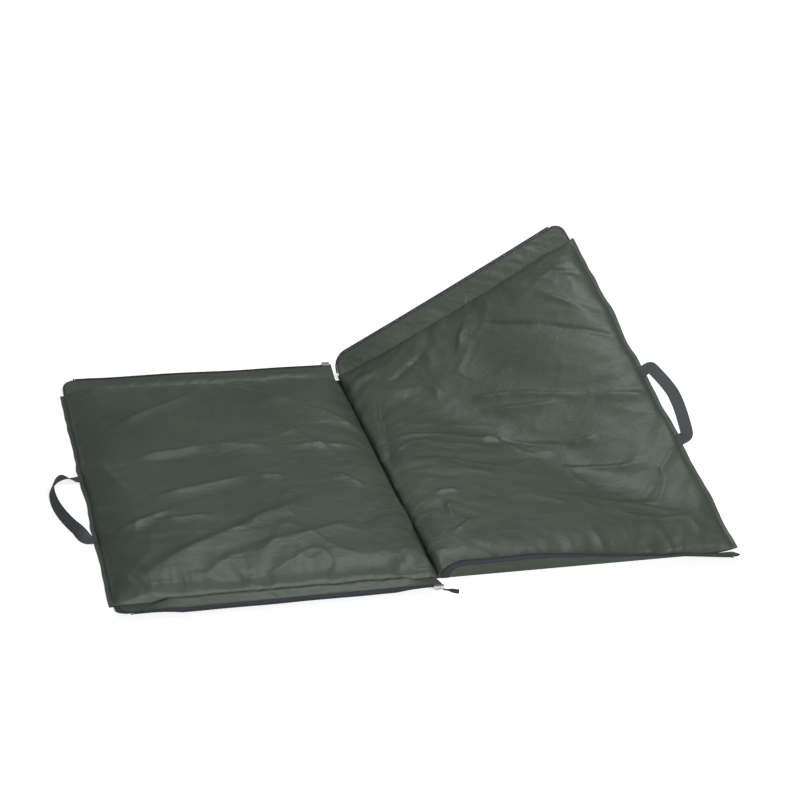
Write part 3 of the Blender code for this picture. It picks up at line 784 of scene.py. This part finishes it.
class Flap:
    # x runs along the edge, w from the edge to the zip and v out of the cloth. The right
    # flaps are rounded at the spine, and a bent flap follows the raised corner
    def __init__(self, name, node, sides, lean, seed, body=None, rounded=False, bent=False,
                 belly=0.003, lap=flapSizes["lap"], hang=0.0):
        self.name = name
        self.node = node
        self.xSide, self.ySide = sides
        self.lean = lean
        self.rounded = rounded
        self.body = body
        self.seed = seed
        self.bent = bent
        self.belly = belly
        self.hang = hang
        self.clothOuter = tapeInner + lap
        self.gap = flapSizes["roundedGap" if rounded else "gap"]
        self.start = mat["spineEdge"] + (flapSizes["fit"] if rounded else 0)
        self.last = flapSizes["end"] - flapSizes["roundEnd"]

    def ripple(self, x, w):
        # Gathers grow from the root to the tape and stay off the two fixed ends
        near, far = x - ripples["from"], ripples["to"] - x
        ends = clamped(min(near, far) / ripples["over"])
        share = clamped(w / ripples["tall"])
        belly = math.sin(math.pi * clamped(w / self.clothOuter))
        skew = x + w * 1.1
        wave = 1.3 * ridged(Vector((skew * 12, self.seed, w * 3)), 1.8) - 0.4
        wave *= 0.5 + noise.noise(Vector((x * 5, self.seed + 6, 0)))
        wave += 0.5 * noise.noise(Vector((skew * 50, self.seed + 3, w * 9)))
        slow = noise.noise(Vector((x * 7, self.seed + 9, 0)))
        lift = ripples["depth"] * (slow * share * share - wave * belly)
        swell = self.belly * belly * belly
        free = clamped(min(x - ripples["hangFrom"], far) / ripples["hangOver"])
        edge = clamped((w - ripples["edgeFrom"]) / ripples["edgeOver"])
        return (lift - swell) * ends + self.hang * edge * edge * free ** 2

    def point(self, x, w, v):
        lean = self.lean(x)
        v = v + self.ripple(x, w)
        out = self.gap + w * math.sin(lean) + v * math.cos(lean)
        height = flapSizes["height"] + w * math.cos(lean) - v * math.sin(lean)
        spot = Vector((self.xSide * x, self.ySide * (mat["halfDepth"] + out), height))
        return bendPoint(spot) if self.bent else spot

    def outline(self, inset, first=None, last=None, toRoot=True, lines=200, arcs=14):
        width = flapSizes["width"]
        points = []
        begin = self.start if first is None else first
        if self.rounded:
            begin = self.start + flapSizes["roundStart"]
            radius = flapSizes["roundStart"] - inset
            if toRoot:
                points.append((self.start + inset, flapSizes["root"]))
            for step in range(arcs):
                angle = math.pi - math.pi / 2 * step / arcs
                points.append((begin + radius * math.cos(angle),
                               width - flapSizes["roundStart"] + radius * math.sin(angle)))
        end = self.last if last is None else last
        points += [(x, width - inset) for x in spaced(begin, end, lines)]
        if last is None:
            radius = flapSizes["roundEnd"] - inset
            for step in range(arcs):
                angle = math.pi / 2 - math.pi / 2 * (step + 1) / arcs
                points.append((end + radius * math.cos(angle),
                               width - flapSizes["roundEnd"] + radius * math.sin(angle)))
            if toRoot:
                points.append((end + radius, flapSizes["root"]))
        return points

    def band(self, name, outer, deep, levels, rows, finish):
        lengths = runLengths(outer)
        middle = len(outer) // 2
        width = max(math.hypot(outer[0][0] - deep[0][0], outer[-1][1] - deep[-1][1]),
                    abs(outer[middle][1] - deep[middle][1]))

        def place(column, row, layer):
            x = deep[column][0] + (outer[column][0] - deep[column][0]) * row
            w = deep[column][1] + (outer[column][1] - deep[column][1]) * row
            return self.point(x, w, levels[layer])
        return layeredSheet(name, list(range(len(outer))), rows, place, finish,
                            lambda column, row: (lengths[column], rows[row] * width))

    def attach(self, piece, part=None):
        if part:
            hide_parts(self.node + part)
        if self.rounded:
            cornerBlend(piece)
        else:
            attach(piece, self.body)

    def gusset(self):
        outer = self.outline(flapSizes["width"] - self.clothOuter, toRoot=False)
        deep = [(x, flapSizes["root"]) for x, w in outer]
        half = flapSizes["cloth"] / 2
        piece = self.band(self.name + "Gusset", outer, deep, (-half, half), spaced(0, 1, 17),
                          finishes["gusset"])
        self.attach(piece, "_gusset")

    def tape(self):
        outer = self.outline(flapSizes["width"] - tapeOuter)
        deep = self.outline(flapSizes["width"] - tapeInner)
        half = flapSizes["tapeThick"] / 2
        piece = self.band(self.name + "ZipTape", outer, deep,
                          (tapeLevel - half, tapeLevel + half), spaced(0, 1, 7),
                          finishes["tape"])
        self.attach(piece, "_zip_tape")

    def coil(self):
        # Separate turns along the edge, each a small rounded block
        bm = bmesh.new()
        path = self.outline(flapSizes["coil"] / 2, self.start + coilTurn["first"],
                            self.last - flapSizes["stop"] - flapSizes["fit"], toRoot=False,
                            lines=900, arcs=60)
        shape = Matrix.Diagonal((coilTurn["length"], flapSizes["coil"],
                                 flapSizes["coilThick"], 1))
        for one, two, share in evenPlaces(path, coilTurn["pitch"], 0.0):
            x = one[0] + (two[0] - one[0]) * share
            w = one[1] + (two[1] - one[1]) * share
            angle = math.atan2(two[1] - one[1], two[0] - one[0])
            turn = Matrix.Translation((x, w, 0)) @ Matrix.Rotation(angle, 4, "Z")
            bmesh.ops.create_cube(bm, size=1, matrix=turn @ shape)
        bevelAll(bm, coilTurn["bevel"])
        for vert in bm.verts:
            vert.co = self.point(vert.co.x, vert.co.y, tapeLevel + vert.co.z)
        bmesh.ops.recalc_face_normals(bm, faces=bm.faces)
        piece = finishPiece(self.name + "ZipCoil", bm, finishes["coil"])
        self.attach(piece, "_zip_coil")

    def stitching(self):
        # One row of thread holds the tape to the gusset
        path = self.outline(flapSizes["width"] - tapeInner - stitch["inset"], toRoot=False,
                            lines=260)
        level = tapeLevel + flapSizes["tapeThick"] / 2 + stitch["lift"]
        spots = [self.point(x, w, level) for x, w in path]
        shape = Matrix.Diagonal((stitch["pitch"] * stitch["share"], stitch["width"],
                                 stitch["thick"], 1))
        bm = bmesh.new()
        for one, two, share in evenPlaces(spots, stitch["pitch"], stitch["pitch"] / 2):
            turn = (two - one).to_track_quat("X", "Z").to_matrix().to_4x4()
            place = Matrix.Translation(one.lerp(two, share)) @ turn @ shape
            bmesh.ops.create_cube(bm, size=1, matrix=place)
        bevelAll(bm, stitch["bevel"])
        self.attach(finishPiece(self.name + "Stitching", bm, finishes["thread"]))

    def make(self):
        self.gusset()
        self.tape()
        self.coil()
        self.stitching()


flaps = (
    Flap("leftFront", "left_front", (-1, -1), evenLean(72), 1.0, "left_front_flap",
         belly=0.010, lap=0.005, hang=0.0045),
    Flap("leftBack", "left_back", (-1, 1), evenLean(72), 5.0, "left_back_flap", belly=0.004),
    Flap("rightFront", "right_front", (1, -1), frontLean, 9.0, rounded=True),
    Flap("rightBack", "right_back", (1, 1), evenLean(68), 13.0, rounded=True, bent=True),
)
for flap in flaps:
    flap.make()
print("flaps made")


# Webbing handles

handles = {
    "leftHandle": {
        "node": "left_handle", "body": "left_handle_loop", "side": -1, "span": 0.224,
        "reach": 0.059, "middle": -0.066, "stand": 70, "bent": False,
        "path": ((0, 0), (0, 0.12), (0.05, 0.32), (0.20, 0.60), (0.42, 0.87), (0.64, 1.0),
                 (0.84, 0.95), (0.97, 0.66), (1, 0.25), (1, 0))},
    "rightHandle": {
        "node": "right_handle", "body": "right_handle_loop", "side": 1, "span": 0.175,
        "reach": 0.031, "middle": -0.048, "stand": 14, "bent": True,
        "path": ((0, 0), (0, 0.42), (0.04, 0.58), (0.16, 0.74), (0.36, 0.93), (0.55, 1.0),
                 (0.70, 0.90), (0.85, 0.72), (0.96, 0.56), (1, 0.42), (1, 0))},
}
handleSizes = {"width": 0.025, "thick": 0.0016, "endThick": 0.5, "seat": 0.005,
               "seatHeight": 0.0031, "floorGap": 0.0008, "twist": 0.20, "lines": 150,
               "across": 9, "curve": 20}


def handlePath(sizes):
    start = sizes["middle"] - sizes["span"] / 2
    corners = [Vector((-handleSizes["seat"], start, 0))]
    corners += [Vector((sizes["reach"] * out, start + sizes["span"] * along, 0))
                for along, out in sizes["path"]]
    corners.append(Vector((-handleSizes["seat"], start + sizes["span"], 0)))
    padded = [corners[0]] + corners + [corners[-1]]
    fine = []
    for before, one, two, after in zip(padded, padded[1:], padded[2:], padded[3:]):
        for step in range(handleSizes["curve"]):
            t = step / handleSizes["curve"]
            a = one + (two - before) / 6
            b = two - (after - one) / 6
            fine.append(one * (1 - t) ** 3 + a * (3 * t * (1 - t) ** 2) +
                        b * (3 * t * t * (1 - t)) + two * t ** 3)
    fine.append(corners[-1])
    lengths = runLengths(fine)
    path, index = [], 0
    for line in range(handleSizes["lines"]):
        wanted = lengths[-1] * line / (handleSizes["lines"] - 1)
        while index < len(fine) - 2 and lengths[index + 1] < wanted:
            index += 1
        share = (wanted - lengths[index]) / max(lengths[index + 1] - lengths[index], 1e-9)
        path.append(fine[index].lerp(fine[index + 1], min(share, 1)))
    return path, lengths[-1]


def makeHandle(name, sizes):
    path, total = handlePath(sizes)
    count = len(path)

    def place(index, across, layer):
        before, after = path[max(index - 1, 0)], path[min(index + 1, count - 1)]
        ahead = (after - before).normalized()
        outward = Vector((ahead.y, -ahead.x, 0))
        fromEnd = min(index, count - 1 - index) / (count - 1)
        turned = eased(min(fromEnd / handleSizes["twist"], 1))
        stand = math.radians(sizes["stand"]) * turned
        thick = handleSizes["thick"] * (
            handleSizes["endThick"] + (1 - handleSizes["endThick"]) * turned)
        half = handleSizes["width"] / 2
        centre = max(handleSizes["seatHeight"] + thick / 2, handleSizes["floorGap"] +
                     half * math.sin(stand) + thick / 2 * math.cos(stand))
        wide = (across * 2 - 1) * half
        deep = (layer * 2 - 1) * thick / 2
        spread = -wide * math.cos(stand) + deep * math.sin(stand)
        flat = path[index] + outward * spread
        z = centre + wide * math.sin(stand) + deep * math.cos(stand)
        spot = Vector((sizes["side"] * (mat["length"] + flat.x), flat.y, z))
        return bendPoint(spot) if sizes["bent"] else spot
    rows = spaced(0, 1, handleSizes["across"])
    piece = layeredSheet(name, list(range(count)), rows, place, finishes["webbing"],
                         lambda column, row: (total * column / (count - 1),
                                              rows[row] * handleSizes["width"]))
    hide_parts(sizes["node"])
    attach(piece, sizes["body"])


for name, sizes in handles.items():
    makeHandle(name, sizes)
print("handles made")


# The front puller's tape is twisted, so it shows its broad side

puller = {"start": 0.01115, "end": 0.04115, "width": 0.0078, "eye": 0.0031, "thick": 0.0015,
          "neck": 0.0055, "twist": math.radians(68), "droop": math.radians(13),
          "bar": 0.0013, "rise": 0.0027, "middle": 0.0508, "rest": 0.0146,
          "lines": 31, "across": 7}


def makePuller(flap):
    run = puller["end"] - puller["start"]
    droop = puller["droop"]

    def place(share, across, layer):
        x = puller["start"] + run * share
        neck = min(run * share / puller["neck"], 1)
        thick = puller["eye"] + (puller["thick"] - puller["eye"]) * neck
        turned = puller["twist"] * eased(clamped((share - 0.2) / 0.6))
        y, z = (across * 2 - 1) * puller["width"] / 2, (layer * 2 - 1) * thick / 2
        y, z = (y * math.cos(turned) - z * math.sin(turned),
                y * math.sin(turned) + z * math.cos(turned))
        x, z = (x * math.cos(droop) - z * math.sin(droop),
                x * math.sin(droop) + z * math.cos(droop))
        return flap.point(puller["rest"] - x, puller["middle"] + y,
                          tapeLevel + puller["rise"] + puller["bar"] + z)
    columns, rows = (spaced(0, 1, puller[key]) for key in ("lines", "across"))
    piece = layeredSheet("frontPullerTape", columns, rows, place, finishes["pull"],
                         lambda column, row: (run * columns[column],
                                              puller["width"] * rows[row]))
    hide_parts("front_puller_tape")
    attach(piece, "front_puller")


makePuller(flaps[0])


# CAD pieces that keep their shape get their finish

keptFinishes = {
    "stop": ("left_front_top_stop", "left_back_top_stop", "right_front_top_stop",
             "right_back_top_stop", "left_front_bottom_stop", "left_back_bottom_stop"),
    "metal": ("front_slider_body", "back_slider_body", "front_slider_bail", "back_slider_bail",
              "front_puller_link", "back_puller_link"),
    "pull": ("back_puller_tape",),
    "strap": ("outer_roll_strap", "inner_roll_strap"),
    "patch": ("outer_strap_hook_patch", "outer_strap_loop_patch", "inner_strap_hook_patch",
              "inner_strap_loop_patch"),
}
for finish, nodes in keptFinishes.items():
    for node in nodes:
        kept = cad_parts[node]
        kept.data.materials.clear()
        kept.data.materials.append(finishes[finish])


# Floor, light and camera

backdrop = {"mirrored": 0.12, "ambient": 0.18, "floorSize": 12, "floorShade": 0.86,
            "floorDrop": -0.0004, "glow": 0.64, "farGlow": 0.4, "glowFrom": 1.0, "glowOver": 2.5}


def seenRays(paint):
    # The white surroundings show in full to the camera and a little in shiny pieces
    path = paint.make("ShaderNodeLightPath")
    camera, glossy, through = (Paint(path.tree, path.socket.node.outputs[name]) for name in
                               ("Is Camera Ray", "Is Glossy Ray", "Is Transmission Ray"))
    return camera + (glossy + through) * backdrop["mirrored"]


def makeFloor():
    bm = bmesh.new()
    bmesh.ops.create_grid(bm, x_segments=1, y_segments=1, size=backdrop["floorSize"])
    floorFinish, shader, paint = newFinish("paleFloor", 0.9)
    shader.inputs["Base Color"].default_value = (*[backdrop["floorShade"]] * 3, 1)
    shader.inputs["Emission Strength"].default_value = 1
    reach = paint.make("ShaderNodeVectorMath", {"operation": "LENGTH"}, {0: ownPlace(paint)},
                       output=1)
    far = ((reach - backdrop["glowFrom"]) * (1 / backdrop["glowOver"])).clamp()
    glow = seenRays(paint) * (far * backdrop["farGlow"] + backdrop["glow"])
    paint.tree.links.new(glow.socket, shader.inputs["Emission Color"])
    floor = finishPiece("floor", bm, floorFinish)
    floor.location.z = backdrop["floorDrop"]


def makeWorld():
    world = bpy.data.worlds.new("studio")
    bpy.context.scene.world = world
    world.use_nodes = True
    background = world.node_tree.nodes["Background"]
    paint = Paint(world.node_tree, None)
    background.inputs["Color"].default_value = (1, 1, 1, 1)
    strength = seenRays(paint) * (1 - backdrop["ambient"]) + backdrop["ambient"]
    world.node_tree.links.new(strength.socket, background.inputs["Strength"])


lamps = {
    "key": {"place": (0.3, -3.8, 1.95), "size": 0.9, "power": 96},
    "top": {"place": (0.10, 0.05, 1.35), "size": 0.7, "power": 9.4},
}


def makeLamps():
    for name, lamp in lamps.items():
        light = bpy.data.lights.new(name, "AREA")
        light.size = lamp["size"]
        light.energy = lamp["power"]
        shown = bpy.data.objects.new(name, light)
        bpy.context.scene.collection.objects.link(shown)
        shown.location = lamp["place"]
        shown.rotation_euler = (-shown.location).to_track_quat("-Z", "Y").to_euler()


viewpoint = {"place": (-0.9539, -3.1778, 1.8842), "pitch": 27.416, "yaw": -17.124,
             "roll": 4.454, "lens": 85.23, "sensor": 36, "reach": 60}


def makeCamera():
    data = bpy.data.cameras.new("camera")
    data.lens = viewpoint["lens"]
    data.sensor_width = viewpoint["sensor"]
    shown = bpy.data.objects.new("camera", data)
    bpy.context.scene.collection.objects.link(shown)
    pitch, yaw, roll = (math.radians(viewpoint[key]) for key in ("pitch", "yaw", "roll"))
    ahead = Vector((-math.sin(yaw) * math.cos(pitch), math.cos(yaw) * math.cos(pitch),
                    -math.sin(pitch)))
    right = Vector((math.cos(yaw), math.sin(yaw), 0))
    top = right.cross(ahead)
    turnedRight = right * math.cos(roll) + top * math.sin(roll)
    turnedTop = top * math.cos(roll) - right * math.sin(roll)
    shown.matrix_world = Matrix.LocRotScale(
        Vector(viewpoint["place"]),
        Matrix((turnedRight, turnedTop, -ahead)).transposed().to_quaternion(), None)
    data.clip_end = viewpoint["reach"]
    bpy.context.scene.camera = shown


makeFloor()
makeWorld()
makeLamps()
makeCamera()
bpy.context.scene.view_settings.view_transform = "Standard"
print("scene ready")
